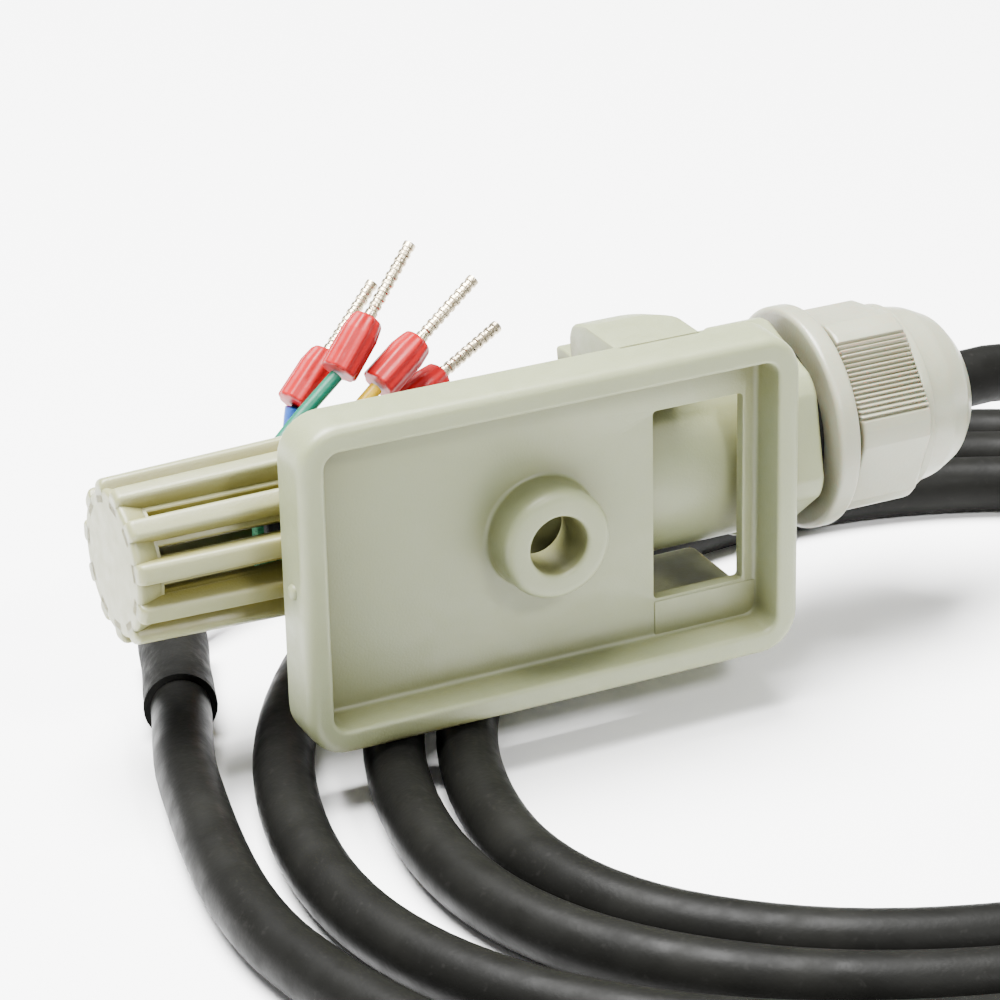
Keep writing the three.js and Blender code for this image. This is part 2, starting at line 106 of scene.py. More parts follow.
# ---- node helpers ----
class Look:
    """One procedural material: a principled shader with helpers for its inputs."""

    def __init__(self, name, colour, roughness=0.45):
        self.material = bpy.data.materials.new(name)
        self.material.use_nodes = True
        self.tree = self.material.node_tree
        self.shader = self.tree.nodes["Principled BSDF"]
        self.colour = colour
        self.set(Roughness=roughness)
        self.shader.inputs["Base Color"].default_value = (*colour, 1)
        self.coordinates = self.tree.nodes.new("ShaderNodeTexCoord")
        self.height = None

    def set(self, **values):
        for key, value in values.items():
            self.shader.inputs[key.replace("_", " ")].default_value = value

    def node(self, kind, **values):
        made = self.tree.nodes.new(kind)
        for key, value in values.items():
            setattr(made, key, value)
        return made

    def link(self, a, b):
        self.tree.links.new(a, b)

    def noise(self, scale, detail=4, stretch=(1, 1, 1), distortion=0.0):
        mapping = self.node("ShaderNodeMapping")
        mapping.inputs["Scale"].default_value = stretch
        self.link(self.coordinates.outputs["Object"], mapping.inputs["Vector"])
        noise = self.node("ShaderNodeTexNoise")
        noise.inputs["Scale"].default_value = scale
        noise.inputs["Detail"].default_value = detail
        noise.inputs["Distortion"].default_value = distortion
        self.link(mapping.outputs["Vector"], noise.inputs["Vector"])
        return noise.outputs["Fac"]

    def spread(self, value, low, high, out_low, out_high):
        span = self.node("ShaderNodeMapRange")
        for index, number in enumerate((low, high, out_low, out_high), start=1):
            span.inputs[index].default_value = number
        self.link(value, span.inputs[0])
        return span.outputs[0]

    def tint(self, factor, colour, base=None):
        """Mixes the base colour toward another by a factor, on top of what is there."""
        mix = self.node("ShaderNodeMix", data_type="RGBA")
        socket = self.shader.inputs["Base Color"]
        if socket.is_linked:
            self.link(socket.links[0].from_socket, mix.inputs[6])
        else:
            mix.inputs[6].default_value = (*(base or self.colour), 1)
        mix.inputs[7].default_value = (*colour, 1)
        self.link(factor, mix.inputs[0])
        self.link(mix.outputs[2], socket)
        return self

    def vary(self, scale, colour, amount=0.5, low=0.4, high=0.7, stretch=(1, 1, 1)):
        return self.tint(self.spread(self.noise(scale, stretch=stretch), low, high, 0, amount), colour)

    def rough(self, scale, low, high, stretch=(1, 1, 1)):
        self.link(self.spread(self.noise(scale, stretch=stretch), 0.3, 0.7, low, high),
                  self.shader.inputs["Roughness"])
        return self

    def bump(self, scale, depth, detail=4, stretch=(1, 1, 1)):
        """depth is in metres."""
        bump = self.node("ShaderNodeBump")
        bump.inputs["Distance"].default_value = depth
        self.link(self.noise(scale, detail, stretch), bump.inputs["Height"])
        normal = self.shader.inputs["Normal"]
        if normal.is_linked:
            self.link(normal.links[0].from_socket, bump.inputs["Normal"])
        self.link(bump.outputs["Normal"], normal)
        return self

    def painted_crevice_shade(self, colour, distance, amount, low=0.35, high=0.95):
        """Painted shade: a warmer or darker colour where the surface closes in on itself, found by ambient
        occlusion.
        """
        ao = self.node("ShaderNodeAmbientOcclusion", samples=8)
        ao.inputs["Distance"].default_value = distance
        return self.tint(self.spread(ao.outputs["AO"], low, high, amount, 0), colour)


def moulded_cream(name, colour, shade, painted_shade_colour, painted_shade_amount):
    look = Look(name, colour, 0.42)
    look.set(Subsurface_Weight=0.35, Subsurface_Scale=0.0012, IOR=1.5)
    look.shader.inputs["Subsurface Radius"].default_value = (1.0, 0.85, 0.45)
    # Painted shade: the cream turns toward a warm olive in its recesses, gaps and between the cage's ribs.
    look.painted_crevice_shade(painted_shade_colour, 0.006, painted_shade_amount)
    look.vary(90, shade, 0.35, stretch=(1, 1, 2))
    look.vary(2600, shade, 0.18, 0.55, 0.75)
    look.rough(700, 0.36, 0.50)
    return look.bump(5200, 0.00002, 3).bump(260, 0.00003, 2).material


def grey_nylon():
    look = Look("grey_nylon_look", (0.225, 0.23, 0.165), 0.34)
    look.set(Subsurface_Weight=0.25, Subsurface_Scale=0.001)
    # Painted shade: darker olive-grey in the gland's gaps and recesses, by ambient occlusion.
    look.painted_crevice_shade((0.12, 0.112, 0.06), 0.003, 0.85)
    look.vary(120, (0.23, 0.23, 0.17), 0.4)
    look.rough(500, 0.28, 0.44)
    return look.bump(3600, 0.00002, 3).material


def black_cable():
    look = Look("black_cable_look", (0.0045, 0.0045, 0.004), 0.45)
    look.set(Specular_IOR_Level=0.05)
    look.vary(160, (0.008, 0.008, 0.007), 0.7)
    look.vary(1500, (0.02, 0.019, 0.018), 0.22, 0.62, 0.74)
    look.rough(420, 0.34, 0.55)
    return look.bump(2400, 0.000015, 4).bump(180, 0.00002, 2).material


def black_rubber():
    look = Look("black_rubber_look", (0.004, 0.004, 0.0036), 0.6)
    look.set(Specular_IOR_Level=0.05)
    look.vary(300, (0.009, 0.009, 0.008), 0.6)
    look.rough(900, 0.5, 0.75)
    return look.bump(2600, 0.00004, 4).material


def insulation(name, colour, shade):
    look = Look(name, colour, 0.38)
    look.set(Subsurface_Weight=0.15, Subsurface_Scale=0.0005, Specular_IOR_Level=0.2)
    look.vary(700, shade, 0.5)
    look.rough(900, 0.3, 0.48)
    return look.bump(3000, 0.00002, 3).material


def ferrule_red():
    look = Look("ferrule_red_look", (0.26, 0.002, 0.004), 0.33)
    look.set(Subsurface_Weight=0.15, Subsurface_Scale=0.0008, Specular_IOR_Level=0.22)
    # Painted shade: deeper red in the flutes and creases, by ambient occlusion.
    look.painted_crevice_shade((0.11, 0.001, 0.001), 0.001, 0.6)
    look.vary(500, (0.21, 0.001, 0.002), 0.5)
    look.rough(800, 0.34, 0.5)
    return look.bump(2600, 0.00002, 3).material


def tinned_copper():
    look = Look("tinned_look", (0.52, 0.45, 0.32), 0.34)
    look.set(Metallic=1.0)
    look.vary(900, (0.40, 0.33, 0.22), 0.6)
    look.vary(2600, (0.66, 0.60, 0.48), 0.4, 0.55, 0.7)
    look.rough(1500, 0.2, 0.42)
    return look.bump(3200, 0.00006, 4).material


def circuit_board():
    look = Look("circuit_board_look", (0.02, 0.16, 0.07), 0.35)
    look.vary(1400, (0.05, 0.30, 0.13), 0.8, 0.48, 0.52, stretch=(1, 1, 5))
    look.vary(3000, (0.62, 0.45, 0.14), 0.7, 0.68, 0.7)
    return look.bump(1500, 0.00004, 2).material


def chip_black():
    look = Look("chip_look", (0.02, 0.02, 0.022), 0.4)
    look.vary(1500, (0.05, 0.05, 0.052), 0.6)
    return look.bump(5000, 0.00002, 3).material


def tantalum():
    look = Look("tantalum_look", (0.55, 0.32, 0.06), 0.4)
    look.vary(900, (0.70, 0.46, 0.14), 0.6)
    return look.bump(4000, 0.00002, 3).material


LOOKS = {
    # Each cream's fourth and fifth values are its painted shade colour and amount, laid into crevices.
    "abs": moulded_cream(
        "cream_abs_look", (0.185, 0.203, 0.113), (0.16, 0.178, 0.094), (0.112, 0.106, 0.031), 0.85),
    "cage": moulded_cream(
        "cream_cage_look", (0.19, 0.196, 0.1), (0.165, 0.17, 0.082), (0.14, 0.118, 0.016), 1.0),
    "nylon": grey_nylon(),
    "cable": black_cable(),
    "rubber": black_rubber(),
    "red": ferrule_red(),
    "tin": tinned_copper(),
    "board": circuit_board(),
    "chip": chip_black(),
    "tantalum": tantalum(),
    "green": insulation("wire_green_look", (0.001, 0.095, 0.055), (0.001, 0.07, 0.04)),
    "yellow": insulation("wire_yellow_look", (0.40, 0.25, 0.001), (0.33, 0.20, 0.001)),
    "brown": insulation("wire_brown_look", (0.15, 0.06, 0.025), (0.11, 0.04, 0.018)),
    "blue": insulation("wire_blue_look", (0.02, 0.09, 0.36), (0.015, 0.06, 0.27)),
}


# ---- mesh helpers ----
def piece(name, build, look, body, replaces=(), sharp=32.0):
    """A mesh object from a bmesh already in the row frame."""
    bmesh.ops.remove_doubles(build, verts=build.verts, dist=1e-7)
    bmesh.ops.recalc_face_normals(build, faces=build.faces)
    mesh = bpy.data.meshes.new(name)
    build.to_mesh(mesh)
    build.free()
    mesh.shade_smooth()
    mesh.set_sharp_from_angle(angle=math.radians(sharp))
    mesh.materials.append(LOOKS[look])
    made = bpy.data.objects.new(name, mesh)
    bpy.context.scene.collection.objects.link(made)
    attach(made, body)
    if replaces:
        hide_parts(*replaces)
    return made


def fillet(points, radii, steps=4, closed=False):
    """A 2D line with its corners rounded; radii holds one radius per point."""
    out = []
    count = len(points)
    for i, (point, radius) in enumerate(zip(points, radii)):
        ends = not closed and i in (0, count - 1)
        if ends or radius <= 0:
            out.append(tuple(point))
            continue
        here = Vector(point)
        before = Vector(points[i - 1]) - here
        after = Vector(points[(i + 1) % count]) - here
        half = before.angle(after) / 2
        reach = min(radius / math.tan(half), before.length * 0.49, after.length * 0.49)
        a = here + before.normalized() * reach
        b = here + after.normalized() * reach
        for k in range(steps + 1):
            t = k / steps
            out.append(tuple(a.lerp(here, t).lerp(here.lerp(b, t), t)))
    return out


def loft(build, rings, closed_ring=True, wrap=False):
    """Faces between rings of points; returns the rings' vertices."""
    made = [[build.verts.new(p) for p in ring] for ring in rings]
    pairs = list(zip(made, made[1:]))
    if wrap:
        pairs.append((made[-1], made[0]))
    for a, b in pairs:
        count = len(a)
        for i in range(count if closed_ring else count - 1):
            j = (i + 1) % count
            build.faces.new((a[i], a[j], b[j], b[i]))
    return made


def cap(build, ring):
    build.faces.new(ring)


def lathe(build, profile, segments=96, ends=True):
    """Turns [x, radius] points round the probe's axis, closing an open profile with two discs."""
    rings = []
    for x, radius in profile:
        rings.append([around(x, radius, 2 * math.pi * i / segments) for i in range(segments)])
    made = loft(build, rings, wrap=not ends)
    if ends:
        cap(build, made[0])
        cap(build, list(reversed(made[-1])))


def rounded_loop(half_x, half_z, radius, y, corner_steps=8):
    """A rounded rectangle in X and Z, round the plate's middle."""
    points = []
    for quarter in range(4):
        cx = (half_x - radius) * (1 if quarter in (0, 3) else -1)
        cz = (half_z - radius) * (1 if quarter in (0, 1) else -1)
        for k in range(corner_steps + 1):
            a = math.pi / 2 * (quarter + k / corner_steps)
            points.append(P(cx + radius * math.cos(a), y, cz + radius * math.sin(a)))
    return points


def circle_loop(radius, y, segments=64):
    step = 2 * math.pi / segments
    return [P(radius * math.cos(i * step), y, radius * math.sin(i * step)) for i in range(segments)]


def window_loop(y, grow=0.0):
    left, right, bottom, top = WINDOW
    corner = 0.3 + grow
    points = []
    for quarter in range(4):
        cx = right + grow - corner if quarter in (0, 3) else left - grow + corner
        cz = top + grow - corner if quarter in (0, 1) else bottom - grow + corner
        for k in range(4):
            a = math.pi / 2 * (quarter + k / 3)
            points.append(P(cx + corner * math.cos(a), y, cz + corner * math.sin(a)))
    return points


def fill_between(build, outer, holes):
    """A flat face with holes, from closed rings of vertices."""
    edges = []
    for ring in [outer, *holes]:
        for a, b in zip(ring, ring[1:] + ring[:1]):
            edges.append(build.edges.get((a, b)) or build.edges.new((a, b)))
    bmesh.ops.triangle_fill(build, use_beauty=True, use_dissolve=False, edges=edges)


# ---- bracket ----
def make_tray():
    build = bmesh.new()
    section = fillet(
        [(2.8, PLATE_DEPTH), (0, PLATE_DEPTH), (0, 0),
         (RIM_WIDTH, 0), (RIM_WIDTH + 0.12, RECESS), (3.2, RECESS)],
        [0, 0.35, 1.35, 0.45, 0.5, 0], 6)
    rings = []
    for inset, y in section:
        radius = max(PLATE_CORNER - inset, 0.9)
        rings.append(rounded_loop(PLATE_HALF_X - inset, PLATE_HALF_Z - inset, radius, y))
    made = loft(build, rings)
    boss = fillet(
        [(BOSS_R + 0.9, RECESS), (BOSS_R + 0.12, RECESS), (BOSS_R, 0),
         (HOLE_R, 0), (HOLE_R - 0.06, PLATE_DEPTH)],
        [0, 0.55, 0.95, 0.4, 0], 6)
    boss_rings = loft(build, [circle_loop(r, y) for r, y in boss])
    window_rings = loft(build, [
        window_loop(RECESS, 0.12), window_loop(RECESS + 0.05, 0.03), window_loop(RECESS + 0.15),
        window_loop(PLATE_DEPTH - 0.1), window_loop(PLATE_DEPTH, 0.08)])
    fill_between(build, made[-1], [boss_rings[0], window_rings[0]])
    fill_between(build, made[0], [boss_rings[-1], window_rings[-1]])
    piece("bracket_tray", build, "abs", "holder", ["bracket"])


def make_moulding_marks():
    """A small sprue nub on the rim's left side, and a faint step in the floor below the window."""
    build = bmesh.new()
    rings = []
    for out, size in ((0.25, 0.7), (0.0, 0.68), (-0.22, 0.55), (-0.36, 0.3)):
        ring = []
        for k in range(16):
            a = math.pi * k / 8
            ring.append(P(-PLATE_HALF_X + out, 2.3 + size * math.cos(a), 0.05 + size * math.sin(a)))
        rings.append(ring)
    made = loft(build, rings)
    cap(build, list(reversed(made[0])))
    cap(build, made[-1])
    piece("sprue_nub", build, "abs", "holder")
    build = bmesh.new()
    low = (WINDOW[0], RECESS - 0.1, -PLATE_HALF_Z + RIM_WIDTH - 0.1)
    block(build, low, (PLATE_HALF_X - RIM_WIDTH + 0.1, RECESS + 0.1, WINDOW[2] - 0.25), 0.06)
    piece("floor_step", build, "abs", "holder", sharp=20)


def arm_profile(reach, side, solid):
    """The clip arm's side view as (y, z): flat outside, rounded tip, and hollowed round the tube."""
    top = PLATE_HALF_Z
    root = PLATE_DEPTH - 0.6
    seat = TUBE_R + 0.3
    if solid:
        inner = []
        for k in range(4):
            a = math.radians(98 + k * 3.6)
            inner.append((AXIS_Y + seat * math.cos(a), seat * math.sin(a)))
        line = [(root, 8.6), (root, top), (reach - 3, top), (reach - 0.5, top - 0.7), (reach, 12.2)]
        line += [(reach - 0.3, 9.8)] + inner
        radii = [0, 0, 1.0, 0.9, 1.2, 0.5] + [0] * len(inner)
    else:
        line = [(root, top - 1.8), (root, top), (reach - 1.6, top)]
        line += [(reach, top - 0.9), (reach - 0.3, top - 1.8)]
        radii = [0, 0, 0.8, 0.6, 0.3]
    return [(y, z * side) for y, z in fillet(line, radii, 4, closed=True)]


def make_arm(name, start, end, reach, side, solid, corner):
    """Slices across X; the far right corner is rounded in plan by the shorter reach of its slices."""
    build = bmesh.new()
    edge = 0.35
    slices = [start, start + 0.1, start + edge]
    slices += [start + edge + (end - corner - start - edge) * k / 4 for k in range(1, 5)]
    slices += [end - corner + corner * math.sin(math.pi / 2 * k / 8) for k in range(1, 9)]
    rings = []
    for x in slices:
        past = max(0.0, x - (end - corner))
        shorter = corner - math.sqrt(max(corner * corner - past * past, 0.0))
        shrink = 0.0
        if x < start + edge:
            shrink = edge - math.sqrt(max(edge * edge - (start + edge - x) ** 2, 0.0))
        full = arm_profile(reach, side, solid)
        ring = []
        for y, z in full:
            share = max(0.0, min(1.0, (y - PLATE_DEPTH) / (reach - PLATE_DEPTH)))
            inner = abs(z) < 12.0
            height = abs(z) - (0 if inner else shrink)
            ring.append(P(x, y - shorter * share - shrink * share, math.copysign(height, z)))
        rings.append(ring)
    made = loft(build, rings)
    cap(build, list(reversed(made[0])))
    cap(build, made[-1])
    return piece(name, build, "abs", "holder", sharp=40)


def make_lip(name, low, high):
    """A hooked lip round the back of the tube, between two angles in degrees."""
    build = bmesh.new()
    section = fillet([(7.6, 8.8), (9.8, 8.8), (9.8, 10.2), (7.6, 10.2)], [0.3] * 4, 3, closed=True)
    rings = []
    for k in range(25):
        a = math.radians(low + (high - low) * k / 24)
        rings.append([around(x, r, a) for x, r in section])
    made = loft(build, rings)
    cap(build, list(reversed(made[0])))
    cap(build, made[-1])
    return piece(name, build, "abs", "holder")


# ---- tube, collar and cage ----
def hex_radius(angle, flats, turn):
    """How far a hexagon's side is from its middle, at an angle."""
    sector = math.pi / 3
    corner = math.pi / 6 + turn
    offset = (angle - corner) % sector - sector / 2
    return flats / 2 / math.cos(offset)


def hex_rings(profile, flats, turn, limit, segments=180):
    """Rings of [x, inset] points, hexagonal with rounded corners."""
    rings = []
    for x, inset in profile:
        ring = []
        for i in range(segments):
            a = 2 * math.pi * i / segments
            side = hex_radius(a, flats, turn)
            soft = limit + (side - limit) * 0.12
            ring.append(around(x, min(side, soft if side > limit else side) - inset, a))
        rings.append(ring)
    return rings


def make_tube():
    build = bmesh.new()
    outer = [(TUBE_START, 7.35), (TUBE_START, TUBE_R)]
    outer += [(COLLAR_START + 0.4, TUBE_R), (COLLAR_START + 0.4, THREAD_BORE)]
    profile = fillet(outer, [0, 0.4, 0.5, 0], 5)
    profile += [(19, THREAD_BORE), (19, 7.35)]
    lathe(build, profile, 128, ends=False)
    piece("probe_shell", build, "abs", "probe", ["probe_tube"])
    build = bmesh.new()
    section = fillet([(COLLAR_START - 0.2, 1.6), (COLLAR_START - 0.2, 0), (TUBE_END, 0), (TUBE_END, 1.9)],
                     [0, 0.6, 0.5, 0], 5)
    rings = hex_rings(section, COLLAR_FLATS, COLLAR_TURN, COLLAR_ROUND)
    rings.append([around(TUBE_END, THREAD_BORE, 2 * math.pi * i / 180) for i in range(180)])
    rings.append([around(COLLAR_START - 0.2, THREAD_BORE, 2 * math.pi * i / 180) for i in range(180)])
    loft(build, rings, wrap=True)
    piece("probe_collar", build, "abs", "probe")


def rib_bar(build, angle):
    """One long fin of the cage, rounded along its crest and at its tip."""
    half = RIB_WIDTH / 2
    corners = [(-half, 4.9), (half, 4.9), (half * 0.9, 6.75), (-half * 0.9, 6.75)]
    section = fillet(corners, [0, 0, 0.5, 0.5], 4, True)
    rings = []
    sinks = ((-32.5, 0.5), (-32.44, 0.3), (-32.3, 0.13), (-32.1, 0.03), (-31.9, 0.0), (-14.0, -0.45))
    for x, sink in sinks:
        ring = []
        for side, radius in section:
            crest = radius - sink if radius > 5.5 else radius
            narrow = 1 - 0.35 * max(sink, 0)
            y = crest * math.cos(angle) - side * narrow * math.sin(angle)
            z = crest * math.sin(angle) + side * narrow * math.cos(angle)
            ring.append(P(x, AXIS_Y + y, z))
        rings.append(ring)
    made = loft(build, rings)
    cap(build, list(reversed(made[0])))
    cap(build, made[-1])


def wall_panel(build, angle, x0, x1, half_width):
    """A curved strip of the cage's wall under one fin, between two slots."""
    corners = [(CAGE_BORE, -1), (WALL_R, -1), (WALL_R, 1), (CAGE_BORE, 1)]
    section = fillet(corners, [0, 0.25, 0.25, 0], 3, True)
    rings = []
    for x in (x0, x1):
        rings.append([around(x, r, angle + half_width * t) for r, t in section])
    made = loft(build, rings)
    cap(build, list(reversed(made[0])))
    cap(build, made[-1])


def make_cage():
    build = bmesh.new()
    disc = fillet([(CAGE_START, 0.8), (CAGE_START, 6.2), (-30.4, 5.5), (-30.4, 0.8)], [0, 0.5, 0.2, 0], 6)
    lathe(build, disc, 96)
    front = [(-31.2, CAGE_BORE), (-31.2, WALL_R), (SLOT_START, WALL_R), (SLOT_START, CAGE_BORE)]
    lathe(build, front, 96, ends=False)
    throat = fillet(
        [(SLOT_END, CAGE_BORE), (SLOT_END, WALL_R), (-14.0, WALL_R),
         (SPIGOT_START, SPIGOT_R), (CAGE_MOUTH, SPIGOT_R), (CAGE_MOUTH, CAGE_BORE)],
        [0, 0, 0.2, 0.3, 0.3, 0], 4)
    lathe(build, throat, 96, ends=False)
    skew = SLOT_SKEW * 2 * math.pi / CAGE_RIBS
    half = math.pi / CAGE_RIBS - SLOT_HALF_ANGLE
    for i in range(CAGE_RIBS):
        angle = 2 * math.pi * (i + RIB_PHASE) / CAGE_RIBS
        rib_bar(build, angle)
        wall_panel(build, angle + skew, SLOT_START - 0.2, SLOT_END + 0.2, half)
    piece("cage", build, "cage", "cage", ["cage_head"])


# ---- gland ----
def make_gland():
    build = bmesh.new()
    flange = fillet([(28.3, 3.6), (28.3, 9.6), (30.3, 9.6), (30.3, 3.6)], [0, 0.55, 0.5, 0], 6)
    lathe(build, flange, 120, ends=False)
    neck = [(20.6, 3.6), (20.6, 5.3)]
    for k in range(5):
        x = 21 + k * 1.5
        neck += [(x, 5.3), (x + 0.45, 5.8), (x + 0.7, 5.8), (x + 1.15, 5.3)]
    neck += [(28.4, 5.3), (28.4, 3.6)]
    lathe(build, neck, 72, ends=False)
    spigot = [(30.2, 4.8), (30.2, 5.7)]
    for k in range(4):
        x = 30.9 + k * 1.5
        spigot += [(x, 5.7), (x + 0.45, 6.2), (x + 0.7, 6.2), (x + 1.15, 5.7)]
    spigot += [(37.6, 5.7), (37.6, 4.8)]
    lathe(build, spigot, 72, ends=False)
    piece("gland_base", build, "nylon", "probe", ["gland_body"])

    build = bmesh.new()
    gasket = fillet([(27.5, 6.1), (27.5, 7.2), (28.1, 7.2), (28.1, 6.1)], [0, 0.25, 0.25, 0], 4)
    lathe(build, gasket, 96, ends=False)
    piece("gasket", build, "rubber", "probe", ["gland_gasket"])


def nut_section_radius(angle, inset):
    """The nut's outline: six rounded flats, with fine grip ribs on every other flat."""
    side = hex_radius(angle, NUT_FLATS, NUT_TURN)
    radius = side if side <= NUT_ROUND else NUT_ROUND + (side - NUT_ROUND) * 0.15
    sector = math.pi / 3
    local = (angle - math.pi / 6 - NUT_TURN) % sector
    index = int(((angle - math.pi / 6 - NUT_TURN) % (2 * math.pi)) // sector)
    if index % 2 == 1 and 0.1 < local < sector - 0.1:
        wave = math.cos((local - 0.1) / (sector - 0.2) * 2 * math.pi * NUT_RIBS)
        radius += -NUT_RIB_DEPTH + NUT_RIB_DEPTH * wave
    return radius - inset


def make_nut():
    build = bmesh.new()
    segments = 720
    edge = [(NUT_START, 1.5), (NUT_START, 0), (NUT_HEX_END, 0), (NUT_HEX_END, 1.0)]
    rings = []
    for x, inset in fillet(edge, [0, 0.4, 0.45, 0], 5):
        ring = []
        for i in range(segments):
            a = 2 * math.pi * i / segments
            ring.append(around(x, nut_section_radius(a, inset), a))
        rings.append(ring)
    rings.append([around(NUT_HEX_END, NUT_BORE, 2 * math.pi * i / segments) for i in range(segments)])
    rings.append([around(NUT_START, NUT_BORE, 2 * math.pi * i / segments) for i in range(segments)])
    loft(build, rings, wrap=True)
    dome = fillet(
        [(37.4, NUT_BORE), (37.4, 8.15), (38.3, 8.15), (38.35, 7.85), (40.6, 7.45), (42.6, 6.5),
         (43.7, 5.2), (44, 4.2), (44, 3.1), (43, 3.1), (42.2, 4.6), (40, 5), (38.4, NUT_BORE)],
        [0, 0.2, 0.3, 0.15, 3, 2, 1.2, 0.5, 0.3, 0.2, 0.2, 0.2, 0], 5)
    lathe(build, dome, 120, ends=False)
    piece("cap_nut", build, "nylon", "nut", ["gland_nut"])


def make_clamp():
    build = bmesh.new()
    lathe(build, [(31.9, 3.9), (38, 3.9), (41.6, 3.2), (41.6, 3.9), (38.6, 4.5), (31.9, 4.5)], 64, ends=False)
    piece("claw", build, "nylon", "clamp", ["gland_claw"])
    build = bmesh.new()
    seal = fillet([(31.9, 2.8), (37.6, 2.8), (37.6, 3.6), (31.9, 3.6)], [0.2] * 4, 3, True)
    lathe(build, seal, 64, ends=False)
    piece("seal", build, "rubber", "clamp", ["gland_seal"])


# ---- lead ----
LEAD_END = Vector((-21.7, 31.2, LIE))
LEAD_HEADING = Vector((0.312, 0.95, 0)).normalized()
CROSSINGS = (77, -11.3, 83, -17.2, 88.4, -26.4, 93.8)
HALF_DEPTHS = (30, 46.5, 36, 52.5, 41.5, 58.5)
LOOP_MIDDLE = -16
JOINT = Vector((77, -14, LIE + 0.05))


def lead_point(back):
    return LEAD_END - LEAD_HEADING * back


def cable_points():
    """The lead's route: out of the gland, down to the table, three loose loops, and the end run."""
    points = [Vector(p) for p in (
        (38, AXIS_Y, 0), (44, AXIS_Y, 0), (50, AXIS_Y, 0), (57.6, 13.3, -2),
        (64.4, 10.8, -6.2), (70, 6.8, -10.8),
        (73.9, 1.4, -14.3), (76.1, -4.8, -16.3), (76.9, -10, LIE + 0.05))]
    points += [JOINT, JOINT + Vector((0, -3, 0))]
    for half, depth in enumerate(HALF_DEPTHS):
        start, stop = CROSSINGS[half], CROSSINGS[half + 1]
        side = -1 if half % 2 == 0 else 1
        for k in range(1 if half == 0 else 0, 8):
            a = math.pi * k / 8
            x = (start + stop) / 2 + (start - stop) / 2 * math.cos(a)
            points.append(Vector((x, LOOP_MIDDLE + side * depth * math.sin(a), LIE)))
    points += [Vector((x, y, LIE)) for x, y in (
        (93.8, -16), (87, -40.5), (65, -59), (34, -65.5), (3, -60.5), (-23, -45), (-33, -21))]
    return points + [lead_point(26.3), lead_point(14), lead_point(2.4)]


def smooth_line(points, spacing=2.0):
    """A centripetal spline through the points, at even spacing."""
    ends = [points[0] * 2 - points[1], *points, points[-1] * 2 - points[-2]]
    dense = []
    for i in range(1, len(ends) - 2):
        a, b, c, d = ends[i - 1:i + 3]
        t1 = (b - a).length ** 0.5
        t2 = t1 + (c - b).length ** 0.5
        t3 = t2 + (d - c).length ** 0.5
        for k in range(24):
            t = t1 + (t2 - t1) * k / 24
            a1 = a * ((t1 - t) / t1) + b * (t / t1)
            a2 = b * ((t2 - t) / (t2 - t1)) + c * ((t - t1) / (t2 - t1))
            a3 = c * ((t3 - t) / (t3 - t2)) + d * ((t - t2) / (t3 - t2))
            b1 = a1 * ((t2 - t) / t2) + a2 * (t / t2)
            b2 = a2 * ((t3 - t) / (t3 - t1)) + a3 * ((t - t1) / (t3 - t1))
            dense.append(b1 * ((t2 - t) / (t2 - t1)) + b2 * ((t - t1) / (t2 - t1)))
    dense.append(points[-1])
    line = [dense[0]]
    for point in dense[1:]:
        if (point - line[-1]).length >= spacing:
            line.append(point)
    line[-1] = dense[-1]
    return line


def tube_mesh(build, line, radius, sides=20):
    """A tube of millimetre points, on frames carried along without twist, with closed ends."""
    normal = Vector((0, 0, 1))
    rings = []
    for i, point in enumerate(line):
        ahead = line[min(i + 1, len(line) - 1)]
        behind = line[max(i - 1, 0)]
        tangent = (ahead - behind).normalized()
        normal = (normal - tangent * normal.dot(tangent)).normalized()
        across = tangent.cross(normal)
        size = radius(i / (len(line) - 1)) if callable(radius) else radius
        ring = []
        for k in range(sides):
            a = 2 * math.pi * k / sides
            ring.append(P(*(point + normal * (math.cos(a) * size) + across * (math.sin(a) * size))))
        rings.append(ring)
    made = loft(build, rings)
    cap(build, list(reversed(made[0])))
    cap(build, made[-1])


def turned_along(build, base, heading, profile, segments=32, flutes=0, depth=0.0):
    """Turns (reach, radius) points round a heading; flutes cut shallow grooves along it."""
    side = heading.cross(Vector((0, 0, 1))).normalized()
    up = side.cross(heading)
    rings = []
    for reach, radius in profile:
        ring = []
        for i in range(segments):
            a = 2 * math.pi * i / segments
            size = radius - depth * (0.5 - 0.5 * math.cos(a * flutes)) if flutes and radius > 1.3 else radius
            ring.append(P(*(base + heading * reach + side * (math.cos(a) * size) + up * (math.sin(a) * size))))
        rings.append(ring)
    made = loft(build, rings)
    cap(build, list(reversed(made[0])))
    cap(build, made[-1])


def make_sleeve():
    build = bmesh.new()
    line = [lead_point(12.8 - k * 0.8) for k in range(17)]

    def shrunk(t):
        edge = 0.12 * math.exp(-((t - 0.04) / 0.03) ** 2)
        return 2.95 + edge + 0.06 * math.sin(t * 9) + (0.1 if t < 0.03 else 0)

    tube_mesh(build, line, shrunk, 32)
    return piece("shrink_sleeve", build, "rubber", "holder", ["heat_shrink"])


CORES = (
    ("green", (-1, 0.9), [(-14.4, 39.5, -12), (-5.4, 44.2, -6.2), (0.6, 46, -2.2)], (4.7, 48, 1.7)),
    ("blue", (-1, -0.9),
     [(-15.5, 40.2, -15.2), (-8.5, 46, -14.6), (-3.4, 49.4, -10.6), (-2.2, 50, -6.2)], (2.2, 52, -2.6)),
    ("yellow", (1, 0.9), [(-12.4, 37.6, -12.2), (-3.4, 42.6, -8.4), (4.2, 45.6, -4)], (9.6, 47.4, -0.8)),
    ("brown", (1, -0.9), [(-12.6, 37.2, -14.4), (-2.6, 42.4, -10.8), (6.4, 46.4, -7.2)], (11.6, 48.4, -5.4)),
)


